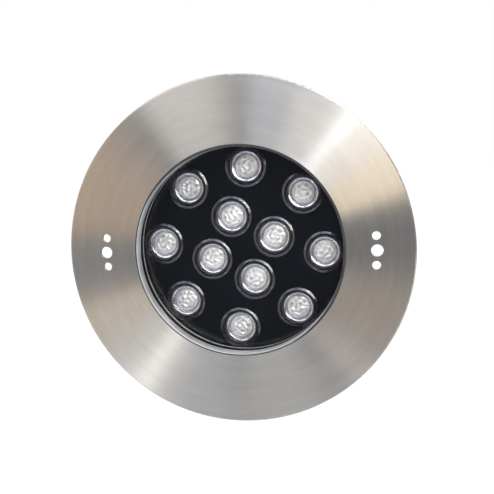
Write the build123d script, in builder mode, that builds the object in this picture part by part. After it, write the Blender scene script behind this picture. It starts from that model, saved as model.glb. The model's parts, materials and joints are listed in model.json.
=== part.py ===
"""Recessed underwater light: a round faceplate over a flanged can, with twelve lensed LEDs behind glass.

The lamp hangs in a wall. X runs to the right, Z up and Y into the wall, so the light shines towards -Y.
The origin is on the lamp's axis, in the plane of the faceplate's back face. Lengths are in millimetres.
"""
from build123d import *
from math import cos, radians, sin
import os

os.makedirs("parts", exist_ok=True)

# Faceplate
plate_d = 240.0
plate_t = 3.0
rim_round = 0.8
window_d = 143.6
window_round = 1.0
collar_wall = 4.2
collar_depth = 9.4
fixing_pitch = 188.0
fixing_hole_d = 8.4
water_hole_d = 6.0
water_hole_rise = 10.0
wall_groove_d = 200.0
wall_groove_w = 2.0
wall_groove_depth = 1.0

# Flange joint between the faceplate and the can
stud_count = 8
stud_edge = 4.9
stud_d = 4.0
stud_length = 9.0
stud_chamfer = 0.4
stud_hole_gap = 0.3
nut_flats = 7.0
nut_height = 4.2
nut_washer_d = 9.0
nut_washer_t = 1.0

# Housing can
collar_gap = 0.7
can_step = 1.5
can_wall = 2.0
can_bottom_t = 2.0
can_corner_round = 8.0
flange_width = 11.8
flange_t = 2.0
can_length = 81.0

# Window glass and its gasket
glass_cover = 3.2
glass_t = 8.0
glass_edge = 0.6
gasket_lip_t = 1.5
gasket_inset = 0.4
gasket_side_gap = 0.3

# Seat ring behind the glass
seat_inset = 0.2
seat_t = 2.0
seat_edge = 0.4

# Deck, lenses and LED board
deck_t = 1.5
deck_side_gap = 0.2
deck_skirt_t = 1.8
deck_hole_d = 28.0
deck_hole_round = 0.5
outer_lens_count = 8
inner_lens_count = 4
deck_hole_margin = 0.5
lens_circle_inner_d = 47.2
lens_pattern_turn = -3.4
lens_below_deck = 2.0
lens_d = 21.4
lens_rim_t = 1.6
lens_face_d = 17.0
lens_face_drop = 0.8
lens_foot_d = 9.6
lens_height = 11.0
lens_pit_d = 6.4
lens_pit_depth = 4.2
lens_side_bulge = 1.2
lens_foot_gap = 0.8
holder_d = 24.6
holder_wall = 1.2
holder_lip = 0.7
holder_fit = 0.1
holder_foot_t = 1.2
board_t = 1.6
board_skirt_gap = 0.7
emitter_base_d = 7.8
emitter_base_t = 2.2
emitter_dome_d = 5.2
emitter_step = 0.4

# Heat sink
sink_t = 6.0
sink_fin_t = 2.0
sink_fin_h = 8.0
sink_fin_pitch = 8.0
sink_fin_edge = 12.0
sink_pocket_d = 14.0

# Screws and standoffs
screw_count = 4
sink_screw_circle_d = 80.0
sink_screw_d = 4.0
sink_screw_head_d = 7.0
sink_screw_head_t = 2.2
sink_screw_length = 16.0
board_screw_edge = 5.5
board_screw_d = 3.0
board_screw_head_d = 5.5
board_screw_head_t = 1.7
board_screw_length = 6.0
screw_head_round = 0.5
socket_share = 0.5
standoff_flats = 8.0
standoff_stud_length = 8.0
thread_gap = 0.05

# Driver board
driver_side_gap = 21.2
driver_t = 1.6
driver_level_share = 0.414
coil_d = 18.0
coil_h = 9.0
coil_core_d = 8.0
coil_circle_d = 68.0
capacitor_d = 8.0
capacitor_h = 10.0
capacitor_pitch = 11.0
capacitor_x = 30.0
capacitor_z = 4.0
chip_size = 9.0
chip_h = 2.4
chip_x = 14.0
chip_z = 20.0
terminal_length = 15.0
terminal_width = 9.0
terminal_height = 8.5
terminal_off = 26.0
terminal_pitch = 7.5
terminal_mouth = 4.0
wire_d = 1.8
wire_bend_share = 0.4
wire_edge = 4.0
wire_hole_d = 3.6

# Cable gland
gland_thread_d = 20.0
gland_thread_pitch = 1.5
gland_thread_depth = 0.5
crest_share = 0.12
gland_flats = 27.0
gland_hex_t = 7.0
hex_chamfer = 0.8
hex_corner_share = 1.13
gland_inner_length = 9.0
gland_spigot_length = 10.0
gland_bore_d = 13.0
gland_seal_bore_d = 16.4
gland_seal_depth = 12.0
gland_groove_d = 23.4
gland_groove_depth = 1.5
locknut_flats = 25.0
locknut_t = 4.5
cable_bore_d = 8.4
seal_length = 10.0
seal_gap = 0.1
claw_ring_t = 1.6
claw_ring_d = 17.6
claw_foot_d = 15.4
claw_bore_d = 9.4
claw_shoulder = 0.6
claw_finger_length = 5.0
claw_tip_d = 13.2
claw_slot_count = 8
claw_slot_w = 0.8
gland_nut_gap = 0.6
gland_nut_hex_t = 9.0
gland_nut_step = 0.3
gland_nut_tip_d = 16.0
gland_nut_fit = 0.08
gland_nut_mouth_d = 12.0
gland_nut_lip_t = 1.6
piece_gap = 0.3

# Levels along Y, worked out from the sizes above
face_y = -plate_t
collar_end_y = collar_depth - plate_t
glass_front_y = collar_end_y + gasket_lip_t
glass_back_y = glass_front_y + glass_t
seat_y = glass_back_y + gasket_lip_t
deck_y = seat_y + seat_t
deck_back_y = deck_y + deck_t
lens_y = deck_y + lens_below_deck
lens_foot_y = lens_y + lens_height
board_y = lens_foot_y + lens_foot_gap + holder_foot_t
board_back_y = board_y + board_t
sink_back_y = board_back_y + sink_t
fin_end_y = sink_back_y + sink_fin_h
can_floor_y = can_length - can_bottom_t
driver_y = fin_end_y + driver_level_share * (can_floor_y - fin_end_y)
driver_back_y = driver_y + driver_t
wire_cross_y = (driver_y + fin_end_y) / 2
gland_inner_y = can_floor_y - gland_inner_length
gland_spigot_y = can_length + gland_hex_t
gland_spigot_end_y = gland_spigot_y + gland_spigot_length
seal_floor_y = gland_spigot_end_y - gland_seal_depth
claw_foot_y = seal_floor_y + seal_length + piece_gap
claw_ring_y = gland_spigot_end_y + piece_gap
claw_end_y = claw_ring_y + claw_ring_t + claw_finger_length

# Diameters worked out from the sizes above: all that stands round the window follows the window
collar_d = window_d + 2 * collar_wall
can_front_bore_d = collar_d + 2 * collar_gap
can_rear_bore_d = can_front_bore_d - 2 * can_step
flange_d = can_front_bore_d + 2 * flange_width
stud_circle_d = flange_d - 2 * stud_edge
glass_d = window_d + 2 * glass_cover
gasket_bore_d = window_d + 2 * gasket_inset
gasket_d = can_front_bore_d - 2 * gasket_side_gap
seat_bore_d = window_d + 2 * seat_inset
lens_circle_outer_d = seat_bore_d - deck_hole_d - 2 * deck_hole_margin
deck_d = can_rear_bore_d - 2 * deck_side_gap
board_d = deck_d - 2 * deck_skirt_t - 2 * board_skirt_gap
driver_d = can_rear_bore_d - 2 * driver_side_gap
board_screw_circle_d = board_d - 2 * board_screw_edge
sink_fin_field_d = deck_d - 2 * sink_fin_edge
fin_count = int(sink_fin_field_d // sink_fin_pitch)

# The lead wires start near the driver board's edge and pass the heat sink just outside its last fins
wire_start_x = driver_d / 2 - wire_edge
wire_end_x = fin_count * sink_fin_pitch / 2


def ring_places(count, circle_d, first_angle):
    """Points evenly spaced on a circle about the lamp's axis, as (x, z), clockwise from the first angle."""
    turns = [radians(first_angle - 360.0 / count * i) for i in range(count)]
    return [(circle_d / 2 * cos(a), circle_d / 2 * sin(a)) for a in turns]


def seat_plane(x, z, y=0.0):
    """Plane through a point beside the lamp's axis, for profiles drawn as (radius, depth into the wall)."""
    return Plane(origin=(x, y, z), x_dir=(1, 0, 0), z_dir=(0, 0, 1))


def across(y):
    """Plane across the lamp's axis at depth y, drawn as seen from the front; into the wall is negative."""
    return Plane(origin=(0, y, 0), x_dir=(1, 0, 0), z_dir=(0, -1, 0))


def save(part, name):
    """Label one finished piece and write it."""
    part.label = name
    export_step(part, f"parts/{name}.step")


# Angles about the axis: the inner lenses and all screws stand halfway between the outer lenses
outer_angle = 90.0 + lens_pattern_turn
inner_angle = outer_angle + 180.0 / outer_lens_count
sink_screw_angle = outer_angle - 180.0 / outer_lens_count
board_screw_angle = inner_angle

outer_places = ring_places(outer_lens_count, lens_circle_outer_d, outer_angle)
inner_places = ring_places(inner_lens_count, lens_circle_inner_d, inner_angle)
lens_places = outer_places + inner_places
stud_places = ring_places(stud_count, stud_circle_d, 90.0 - 180.0 / stud_count)
sink_screw_places = ring_places(screw_count, sink_screw_circle_d, sink_screw_angle)
board_screw_places = ring_places(screw_count, board_screw_circle_d, board_screw_angle)

# Faceplate: a turned stainless plate with a collar that reaches back into the can round the window.
# A shallow groove in its back takes a sealing cord against the wall.
with BuildPart() as faceplate:
    with BuildSketch():
        with BuildLine():
            Polyline(
                (window_d / 2, face_y),
                (plate_d / 2, face_y),
                (plate_d / 2, 0),
                (collar_d / 2, 0),
                (collar_d / 2, collar_end_y),
                (window_d / 2, collar_end_y),
                close=True,
            )
        make_face()
    revolve(axis=Axis.Y)
    front_edges = faceplate.edges().filter_by(GeomType.CIRCLE).group_by(Axis.Y)[0]
    fillet(front_edges.sort_by(SortBy.RADIUS)[0], window_round)
    rim_edges = faceplate.edges().filter_by(GeomType.CIRCLE).group_by(SortBy.RADIUS)[-1]
    fillet(rim_edges, rim_round)
    with BuildSketch(across(face_y)):
        with Locations((-fixing_pitch / 2, 0), (fixing_pitch / 2, 0)):
            Circle(fixing_hole_d / 2)
        water_x = ((fixing_pitch / 2) ** 2 - water_hole_rise**2) ** 0.5
        with GridLocations(2 * water_x, 2 * water_hole_rise, 2, 2):
            Circle(water_hole_d / 2)
    extrude(amount=-plate_t, mode=Mode.SUBTRACT)
    with BuildSketch(across(0)):
        Circle(wall_groove_d / 2 + wall_groove_w / 2)
        Circle(wall_groove_d / 2 - wall_groove_w / 2, mode=Mode.SUBTRACT)
    extrude(amount=wall_groove_depth, mode=Mode.SUBTRACT)
save(faceplate.part, "faceplate")

# Weld studs: drawn-arc studs on the back of the faceplate
with BuildPart() as weld_studs:
    with BuildSketch(across(0)):
        with Locations(*stud_places):
            Circle(stud_d / 2)
    extrude(amount=-stud_length)
    chamfer(weld_studs.edges().group_by(Axis.Y)[-1], stud_chamfer)
save(weld_studs.part, "weld_studs")

# Flange nuts: hexagon nuts with a pressed washer, one on each stud
with BuildPart() as flange_nuts:
    with BuildSketch(across(flange_t)):
        with Locations(*stud_places):
            Circle(nut_washer_d / 2)
            Circle(stud_d / 2 + thread_gap, mode=Mode.SUBTRACT)
    extrude(amount=-nut_washer_t)
    with BuildSketch(across(flange_t + nut_washer_t)):
        with Locations(*stud_places):
            RegularPolygon(nut_flats / 2, 6, major_radius=False)
            Circle(stud_d / 2 + thread_gap, mode=Mode.SUBTRACT)
    extrude(amount=nut_washer_t - nut_height)
save(flange_nuts.part, "flange_nuts")

# Window gasket: a U-section of black silicone round the glass edge
with BuildPart() as glass_gasket:
    with BuildSketch():
        with BuildLine():
            Polyline(
                (gasket_bore_d / 2, collar_end_y),
                (gasket_d / 2, collar_end_y),
                (gasket_d / 2, seat_y),
                (gasket_bore_d / 2, seat_y),
                (gasket_bore_d / 2, glass_back_y),
                (glass_d / 2 + thread_gap, glass_back_y),
                (glass_d / 2 + thread_gap, glass_front_y),
                (gasket_bore_d / 2, glass_front_y),
                close=True,
            )
        make_face()
    revolve(axis=Axis.Y)
save(glass_gasket.part, "glass_gasket")

# Window glass: a ground disc with arrised edges
with BuildPart() as window_glass:
    with BuildSketch(across(glass_front_y)):
        Circle(glass_d / 2)
    extrude(amount=-glass_t)
    chamfer(window_glass.edges(), glass_edge)
save(window_glass.part, "window_glass")

# Seat ring: carries the glass on the step inside the can
with BuildPart() as glass_seat_ring:
    with BuildSketch(across(seat_y)):
        Circle(gasket_d / 2)
        Circle(seat_bore_d / 2, mode=Mode.SUBTRACT)
    extrude(amount=-seat_t)
    seat_lip = glass_seat_ring.edges().group_by(Axis.Y)[0].sort_by(SortBy.RADIUS)[0]
    chamfer(seat_lip, seat_edge)
save(glass_seat_ring.part, "glass_seat_ring")

# Housing can: drawn from one blank, with a flange, a step for the seat ring and a rounded bottom
with BuildPart() as housing_can:
    with BuildSketch():
        with BuildLine():
            Polyline(
                (0, can_floor_y),
                (can_rear_bore_d / 2, can_floor_y),
                (can_rear_bore_d / 2, deck_y),
                (can_front_bore_d / 2, deck_y),
                (can_front_bore_d / 2, 0),
                (flange_d / 2, 0),
                (flange_d / 2, flange_t),
                (can_front_bore_d / 2 + can_wall, flange_t),
                (can_front_bore_d / 2 + can_wall, deck_y + can_wall),
                (can_rear_bore_d / 2 + can_wall, deck_y + 2 * can_wall),
                (can_rear_bore_d / 2 + can_wall, can_length),
                (0, can_length),
                close=True,
            )
        make_face()
    revolve(axis=Axis.Y)
    corner_edges = housing_can.edges().filter_by(GeomType.CIRCLE).group_by(Axis.Y)
    fillet(corner_edges[-1], can_corner_round)
    fillet(corner_edges[-2], can_corner_round - can_wall)
    with BuildSketch(across(0)):
        with Locations(*stud_places):
            Circle(stud_d / 2 + stud_hole_gap)
    extrude(amount=-flange_t, mode=Mode.SUBTRACT)
    with BuildSketch(across(can_floor_y)):
        Circle(gland_thread_d / 2 + thread_gap)
    extrude(amount=-can_bottom_t, mode=Mode.SUBTRACT)
save(housing_can.part, "housing_can")

# Deck: a glossy black moulded cap over the LED board, with a skirt that stands on the heat sink
with BuildPart() as deck_cover:
    with BuildSketch(across(deck_y)):
        Circle(deck_d / 2)
    extrude(amount=deck_y - board_back_y)
    with BuildSketch(across(deck_back_y)):
        Circle(deck_d / 2 - deck_skirt_t)
    extrude(amount=deck_back_y - board_back_y, mode=Mode.SUBTRACT)
    with BuildSketch(across(deck_y)):
        with Locations(*lens_places):
            Circle(deck_hole_d / 2)
    extrude(amount=-deck_t, mode=Mode.SUBTRACT)
    hole_mouths = deck_cover.edges().group_by(Axis.Y)[0].filter_by(lambda e: e.radius < deck_hole_d)
    fillet(hole_mouths, deck_hole_round)
save(deck_cover.part, "deck_cover")


def make_lens(x, z):
    """Clear moulded collimator: a rim, a sunk front face, a bowed reflecting side and a pit for the LED."""
    seat = seat_plane(x, z)
    side_top = (lens_d / 2 - holder_lip, lens_y + lens_rim_t)
    side_foot = (lens_foot_d / 2, lens_foot_y)
    side_middle = ((side_top[0] + side_foot[0]) / 2 + lens_side_bulge, (side_top[1] + side_foot[1]) / 2)
    with BuildPart() as lens:
        with BuildSketch(seat):
            with BuildLine():
                Polyline(
                    (0, lens_foot_y - lens_pit_depth),
                    (0, lens_y + lens_face_drop),
                    (lens_face_d / 2, lens_y + lens_face_drop),
                    (lens_face_d / 2 + lens_face_drop / 2, lens_y),
                    (lens_d / 2, lens_y),
                    (lens_d / 2, lens_y + lens_rim_t),
                    side_top,
                )
                ThreePointArc(side_top, side_middle, side_foot)
                Polyline(
                    side_foot,
                    (lens_pit_d / 2, lens_foot_y),
                    (lens_pit_d / 2, lens_foot_y - lens_pit_depth),
                    (0, lens_foot_y - lens_pit_depth),
                )
            make_face()
        revolve(axis=Axis(seat.origin, seat.y_dir))
    return lens.part


def make_lens_holder(x, z):
    """Dark moulded cup round one lens, with a ledge for the lens rim and a foot on the LED board."""
    seat = seat_plane(x, z)
    inner_d = holder_d - 2 * holder_wall
    ledge_d = lens_d - 2 * holder_lip + 2 * holder_fit
    with BuildPart() as holder:
        with BuildSketch(seat):
            with BuildLine():
                Polyline(
                    (lens_d / 2 + holder_fit, lens_y - holder_lip),
                    (inner_d / 2 + holder_wall / 2, lens_y - holder_lip),
                    (holder_d / 2, lens_y),
                    (holder_d / 2, board_y),
                    (emitter_base_d / 2 + holder_fit, board_y),
                    (emitter_base_d / 2 + holder_fit, board_y - holder_foot_t),
                    (ledge_d / 2, board_y - holder_foot_t),
                    (ledge_d / 2, lens_y + lens_rim_t),
                    (lens_d / 2 + holder_fit, lens_y + lens_rim_t),
                    close=True,
                )
            make_face()
        revolve(axis=Axis(seat.origin, seat.y_dir))
    return holder.part


def make_led_emitter(x, z):
    """Power LED: a round moulded base with a clear silicone dome that reaches into the lens pit."""
    seat = seat_plane(x, z)
    dome_r = emitter_dome_d / 2
    dome_y = board_y - emitter_base_t
    with BuildPart() as emitter:
        with BuildSketch(seat):
            with BuildLine():
                Polyline(
                    (0, dome_y - dome_r),
                    (0, board_y),
                    (emitter_base_d / 2, board_y),
                    (emitter_base_d / 2, board_y - holder_foot_t),
                    (dome_r + emitter_step, board_y - holder_foot_t),
                    (dome_r + emitter_step, dome_y),
                    (dome_r, dome_y),
                )
                CenterArc((0, dome_y), dome_r, 270, 90)
            make_face()
        revolve(axis=Axis(seat.origin, seat.y_dir))
    return emitter.part


for number, (lens_x, lens_z) in enumerate(lens_places, start=1):
    save(make_lens(lens_x, lens_z), f"lens_{number:02d}")
    save(make_lens_holder(lens_x, lens_z), f"lens_holder_{number:02d}")
    save(make_led_emitter(lens_x, lens_z), f"led_emitter_{number:02d}")

# LED board: aluminium-cored circuit board with clearance holes for both sets of screws
with BuildPart() as led_board:
    with BuildSketch(across(board_y)):
        Circle(board_d / 2)
        with Locations(*sink_screw_places):
            Circle(sink_screw_d / 2 + stud_hole_gap, mode=Mode.SUBTRACT)
        with Locations(*board_screw_places):
            Circle(board_screw_d / 2 + stud_hole_gap, mode=Mode.SUBTRACT)
    extrude(amount=-board_t)
save(led_board.part, "led_board")


def make_pan_screws(places, head_y, shank_d, head_d, head_t, length):
    """Pan-head screws with a hexagon socket, heads towards the front, one solid at each place."""
    with BuildPart() as screws:
        with BuildSketch(across(head_y - head_t)):
            with Locations(*places):
                Circle(head_d / 2)
        extrude(amount=-head_t)
        fillet(screws.edges().group_by(Axis.Y)[0], screw_head_round)
        with BuildSketch(across(head_y)):
            with Locations(*places):
                Circle(shank_d / 2)
        extrude(amount=-length)
        with BuildSketch(across(head_y - head_t)):
            with Locations(*places):
                RegularPolygon(shank_d * socket_share / 2, 6, major_radius=False)
        extrude(amount=-head_t * socket_share, mode=Mode.SUBTRACT)
    return screws.part


board_screws = make_pan_screws(
    board_screw_places, board_y, board_screw_d, board_screw_head_d, board_screw_head_t, board_screw_length
)
save(board_screws, "board_screws")
sink_screws = make_pan_screws(
    sink_screw_places, board_y, sink_screw_d, sink_screw_head_d, sink_screw_head_t, sink_screw_length
)
save(sink_screws, "sink_screws")

# Heat sink: a turned aluminium disc with milled fins and a clear pocket round each standoff
with BuildPart() as heat_sink:
    with BuildSketch(across(board_back_y)):
        Circle(deck_d / 2)
        with Locations(*sink_screw_places):
            Circle(sink_screw_d / 2 + stud_hole_gap, mode=Mode.SUBTRACT)
        with Locations(*board_screw_places):
            Circle(board_screw_d / 2 + thread_gap, mode=Mode.SUBTRACT)
        with Locations((wire_end_x, 0), (-wire_end_x, 0)):
            Circle(wire_hole_d / 2, mode=Mode.SUBTRACT)
    extrude(amount=-sink_t)
    with BuildSketch(across(sink_back_y)):
        with GridLocations(sink_fin_pitch, 1, fin_count, 1):
            Rectangle(sink_fin_t, sink_fin_field_d)
        Circle(sink_fin_field_d / 2, mode=Mode.INTERSECT)
        with Locations(*sink_screw_places):
            Circle(sink_pocket_d / 2, mode=Mode.SUBTRACT)
    extrude(amount=-sink_fin_h)
save(heat_sink.part, "heat_sink")

# Lower standoffs: hexagon pillars on the can's bottom, each with a threaded end through the driver board
with BuildPart() as lower_standoffs:
    with BuildSketch(across(driver_back_y)):
        with Locations(*sink_screw_places):
            RegularPolygon(standoff_flats / 2, 6, major_radius=False)
    extrude(amount=driver_back_y - can_floor_y)
    with BuildSketch(across(driver_y - standoff_stud_length)):
        with Locations(*sink_screw_places):
            Circle(sink_screw_d / 2)
    extrude(amount=-(standoff_stud_length + driver_t))
save(lower_standoffs.part, "lower_standoffs")

# Upper standoffs: hexagon pillars between the driver board and the heat sink, threaded at both ends
with BuildPart() as upper_standoffs:
    with BuildSketch(across(sink_back_y)):
        with Locations(*sink_screw_places):
            RegularPolygon(standoff_flats / 2, 6, major_radius=False)
            Circle(sink_screw_d / 2 + thread_gap, mode=Mode.SUBTRACT)
    extrude(amount=sink_back_y - driver_y)
save(upper_standoffs.part, "upper_standoffs")

# Driver board: round circuit board clamped between the two sets of standoffs
with BuildPart() as driver_board:
    with BuildSketch(across(driver_y)):
        Circle(driver_d / 2)
        with Locations(*sink_screw_places):
            Circle(sink_screw_d / 2 + stud_hole_gap, mode=Mode.SUBTRACT)
    extrude(amount=-driver_t)
save(driver_board.part, "driver_board")

# Driver parts: two wound chokes, a row of capacitors and two power chips on the rear of the board
with BuildPart() as driver_parts:
    with BuildSketch(across(driver_back_y)):
        with Locations(*ring_places(2, coil_circle_d, board_screw_angle)):
            Circle(coil_d / 2)
            Circle(coil_core_d / 2, mode=Mode.SUBTRACT)
    extrude(amount=-coil_h)
    with BuildSketch(across(driver_back_y)):
        with Locations((-capacitor_x, -capacitor_z)):
            with GridLocations(1, capacitor_pitch, 1, 2):
                Circle(capacitor_d / 2)
    extrude(amount=-capacitor_h)
    with BuildSketch(across(driver_back_y)):
        with Locations((chip_x, chip_z), (-chip_x, -chip_z)):
            Rectangle(chip_size, chip_size)
    extrude(amount=-chip_h)
save(driver_parts.part, "driver_parts")

# Terminal block: takes the cable's two cores from the gland
with BuildPart() as terminal_block:
    with BuildSketch(across(driver_back_y)):
        with Locations((terminal_off, 0)):
            Rectangle(terminal_width, terminal_length)
    extrude(amount=-terminal_height)
    with BuildSketch(Plane.YZ.offset(terminal_off - terminal_width / 2)):
        with Locations((driver_back_y + terminal_height / 2, 0)):
            with GridLocations(1, terminal_pitch, 1, 2):
                Rectangle(terminal_mouth, terminal_mouth)
    extrude(amount=terminal_width * socket_share, mode=Mode.SUBTRACT)
save(terminal_block.part, "terminal_block")

# Lead wires: one each side, from the driver board up through the heat sink to the LED board
with BuildPart() as lead_wires:
    for side in (-1, 1):
        with BuildLine() as route:
            FilletPolyline(
                (side * wire_start_x, driver_y, 0),
                (side * wire_start_x, wire_cross_y, 0),
                (side * wire_end_x, wire_cross_y, 0),
                (side * wire_end_x, board_back_y, 0),
                radius=wire_bend_share * (driver_y - wire_cross_y),
            )
        with BuildSketch(across(driver_y)):
            with Locations((side * wire_start_x, 0)):
                Circle(wire_d / 2)
        sweep(path=route.line)
save(lead_wires.part, "lead_wires")


def thread_rings(radius, start_y, end_y):
    """Zigzag of thread crests and roots along Y, as (radius, depth), with whole turns between both ends."""
    turns = int((end_y - start_y) / gland_thread_pitch)
    first = end_y - turns * gland_thread_pitch
    points = [(radius, start_y)]
    for turn in range(turns):
        crest_y = first + turn * gland_thread_pitch
        points.append((radius, crest_y + gland_thread_pitch * crest_share))
        points.append((radius - gland_thread_depth, crest_y + gland_thread_pitch / 2))
        points.append((radius, crest_y + gland_thread_pitch * (1 - crest_share)))
    points.append((radius, end_y))
    return points


# Gland body: screwed through the can's bottom, with a hexagon outside and a threaded spigot for the nut
with BuildPart() as gland_body:
    thread_r = gland_thread_d / 2
    corner_r = gland_flats / 2 * hex_corner_share
    with BuildSketch():
        with BuildLine():
            Polyline(
                (gland_bore_d / 2, gland_inner_y),
                *thread_rings(thread_r, gland_inner_y, can_floor_y),
                (thread_r, can_length),
                (thread_r, can_length + gland_groove_depth),
                (gland_groove_d / 2, can_length + gland_groove_depth),
                (gland_groove_d / 2, can_length),
                (gland_flats / 2, can_length),
                (corner_r, can_length + hex_chamfer),
                (corner_r, gland_spigot_y - hex_chamfer),
                (gland_flats / 2, gland_spigot_y),
                *thread_rings(thread_r, gland_spigot_y, gland_spigot_end_y),
                (gland_seal_bore_d / 2, gland_spigot_end_y),
                (gland_seal_bore_d / 2, seal_floor_y),
                (gland_bore_d / 2, seal_floor_y),
                close=True,
            )
        make_face()
    revolve(axis=Axis.Y)
    with BuildSketch(across(gland_inner_y)):
        RegularPolygon(gland_flats / 2, 6, major_radius=False)
    extrude(amount=gland_inner_y - gland_spigot_end_y, mode=Mode.INTERSECT)
save(gland_body.part, "gland_body")

# Gland O-ring: seals the hexagon against the can's bottom
with BuildPart() as gland_o_ring:
    with BuildSketch():
        ring_r = (gland_thread_d + gland_groove_depth) / 2 + thread_gap
        with Locations((ring_r, can_length + gland_groove_depth / 2)):
            Circle(gland_groove_depth / 2)
    revolve(axis=Axis.Y)
save(gland_o_ring.part, "gland_o_ring")

# Gland locknut: pulls the gland up from inside the can
with BuildPart() as gland_locknut:
    with BuildSketch(across(can_floor_y - locknut_t)):
        RegularPolygon(locknut_flats / 2, 6, major_radius=False)
        Circle(gland_thread_d / 2 + thread_gap, mode=Mode.SUBTRACT)
    extrude(amount=-locknut_t)
save(gland_locknut.part, "gland_locknut")

# Gland seal: a rubber sleeve that is squeezed onto the cable
with BuildPart() as gland_seal:
    with BuildSketch(across(seal_floor_y)):
        Circle(gland_seal_bore_d / 2 - seal_gap)
        Circle(cable_bore_d / 2, mode=Mode.SUBTRACT)
    extrude(amount=-seal_length)
save(gland_seal.part, "gland_seal")

# Gland claw: a slotted plastic ring whose foot presses the seal and whose fingers close as the nut turns
with BuildPart() as gland_claw:
    with BuildSketch():
        with BuildLine():
            Polyline(
                (claw_bore_d / 2, claw_foot_y),
                (claw_foot_d / 2, claw_foot_y),
                (claw_foot_d / 2, claw_ring_y),
                (claw_ring_d / 2, claw_ring_y),
                (claw_ring_d / 2, claw_ring_y + claw_ring_t),
                (claw_ring_d / 2 - claw_shoulder, claw_ring_y + claw_ring_t),
                (claw_tip_d / 2, claw_end_y),
                (claw_bore_d / 2, claw_end_y),
                close=True,
            )
        make_face()
    revolve(axis=Axis.Y)
    with BuildSketch(across(claw_ring_y + claw_ring_t)):
        with PolarLocations(0, claw_slot_count // 2, angular_range=180):
            Rectangle(claw_ring_d, claw_slot_w)
    extrude(amount=-claw_finger_length, mode=Mode.SUBTRACT)
save(gland_claw.part, "gland_claw")

# Gland nut: domed hexagon nut that runs on the spigot and holds the claw
with BuildPart() as gland_nut:
    corner_r = gland_flats / 2 * hex_corner_share
    nut_y = gland_spigot_y + gland_nut_gap
    hex_end_y = nut_y + gland_nut_hex_t
    nut_end_y = claw_end_y + piece_gap + gland_nut_lip_t
    dome_r = gland_flats / 2 - gland_nut_step
    with BuildSketch():
        with BuildLine():
            Polyline(
                (0, nut_y),
                (gland_flats / 2, nut_y),
                (corner_r, nut_y + hex_chamfer),
                (corner_r, hex_end_y - hex_chamfer),
                (dome_r, hex_end_y),
            )
            EllipticalCenterArc(
                (gland_nut_tip_d / 2, hex_end_y),
                dome_r - gland_nut_tip_d / 2,
                nut_end_y - hex_end_y,
                start_angle=0,
                arc_size=90,
            )
            Polyline((gland_nut_tip_d / 2, nut_end_y), (0, nut_end_y), (0, nut_y))
        make_face()
    revolve(axis=Axis.Y)
    with BuildSketch(across(nut_y)):
        RegularPolygon(gland_flats / 2, 6, major_radius=False)
    extrude(amount=nut_y - nut_end_y, mode=Mode.INTERSECT)
    with BuildSketch():
        with BuildLine():
            Polyline(
                (0, nut_y),
                (gland_thread_d / 2 + gland_nut_fit, nut_y),
                (gland_thread_d / 2 + gland_nut_fit, claw_ring_y),
                (claw_ring_d / 2 + piece_gap, claw_ring_y),
                (claw_ring_d / 2 + piece_gap, claw_ring_y + claw_ring_t + piece_gap),
                (claw_ring_d / 2 - claw_shoulder + piece_gap, claw_ring_y + claw_ring_t + piece_gap),
                (claw_tip_d / 2 + piece_gap, claw_end_y + piece_gap),
                (gland_nut_mouth_d / 2, claw_end_y + piece_gap),
                (gland_nut_mouth_d / 2, nut_end_y),
                (0, nut_end_y),
                close=True,
            )
        make_face()
    revolve(axis=Axis.Y, mode=Mode.SUBTRACT)
save(gland_nut.part, "gland_nut")
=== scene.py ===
"""Dresses the recessed underwater light: finishes, fine forms, camera, light and floor.

Metres throughout. The lamp's axis is Y, with the wall side towards +Y, X to the right and Z up as seen
from the front, and the origin on the axis in the plane of the faceplate's back.
"""
import json
import math
import bmesh
import bpy
import numpy as np
from mathutils import Matrix, Vector

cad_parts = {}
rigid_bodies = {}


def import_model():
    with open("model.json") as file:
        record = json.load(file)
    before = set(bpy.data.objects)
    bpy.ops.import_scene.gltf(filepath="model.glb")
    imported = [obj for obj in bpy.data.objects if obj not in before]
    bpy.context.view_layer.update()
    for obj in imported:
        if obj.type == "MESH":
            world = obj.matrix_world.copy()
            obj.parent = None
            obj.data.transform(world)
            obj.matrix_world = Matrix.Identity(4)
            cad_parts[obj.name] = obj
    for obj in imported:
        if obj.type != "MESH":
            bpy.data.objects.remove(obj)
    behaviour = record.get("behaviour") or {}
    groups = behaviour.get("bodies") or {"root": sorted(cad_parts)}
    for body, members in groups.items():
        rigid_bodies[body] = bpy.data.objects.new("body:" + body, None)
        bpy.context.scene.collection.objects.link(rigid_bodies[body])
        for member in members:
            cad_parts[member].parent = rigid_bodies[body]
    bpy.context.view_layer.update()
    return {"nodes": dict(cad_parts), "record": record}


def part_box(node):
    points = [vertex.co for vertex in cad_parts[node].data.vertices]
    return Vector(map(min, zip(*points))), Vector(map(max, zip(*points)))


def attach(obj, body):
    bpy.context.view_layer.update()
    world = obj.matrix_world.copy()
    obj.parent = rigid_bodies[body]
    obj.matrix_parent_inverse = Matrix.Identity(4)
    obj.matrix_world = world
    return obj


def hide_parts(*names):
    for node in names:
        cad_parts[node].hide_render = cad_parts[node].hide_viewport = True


for leftover in list(bpy.data.objects):
    bpy.data.objects.remove(leftover)
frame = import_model()


# Faceplate: a disc of stainless steel, 3 mm thick, turned in one setting with the collar round the window.
# Its face was brushed while it span, so fine concentric lines stretch every reflection along the radius.
def add(tree, kind, inputs=None, **settings):
    """One shader node. Inputs are values, or sockets that get linked."""
    made = tree.nodes.new("ShaderNode" + kind)
    for name, value in settings.items():
        setattr(made, name, value)
    for name, value in (inputs or {}).items():
        if isinstance(value, bpy.types.NodeSocket):
            tree.links.new(value, made.inputs[name])
        else:
            made.inputs[name].default_value = value
    return made


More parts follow.
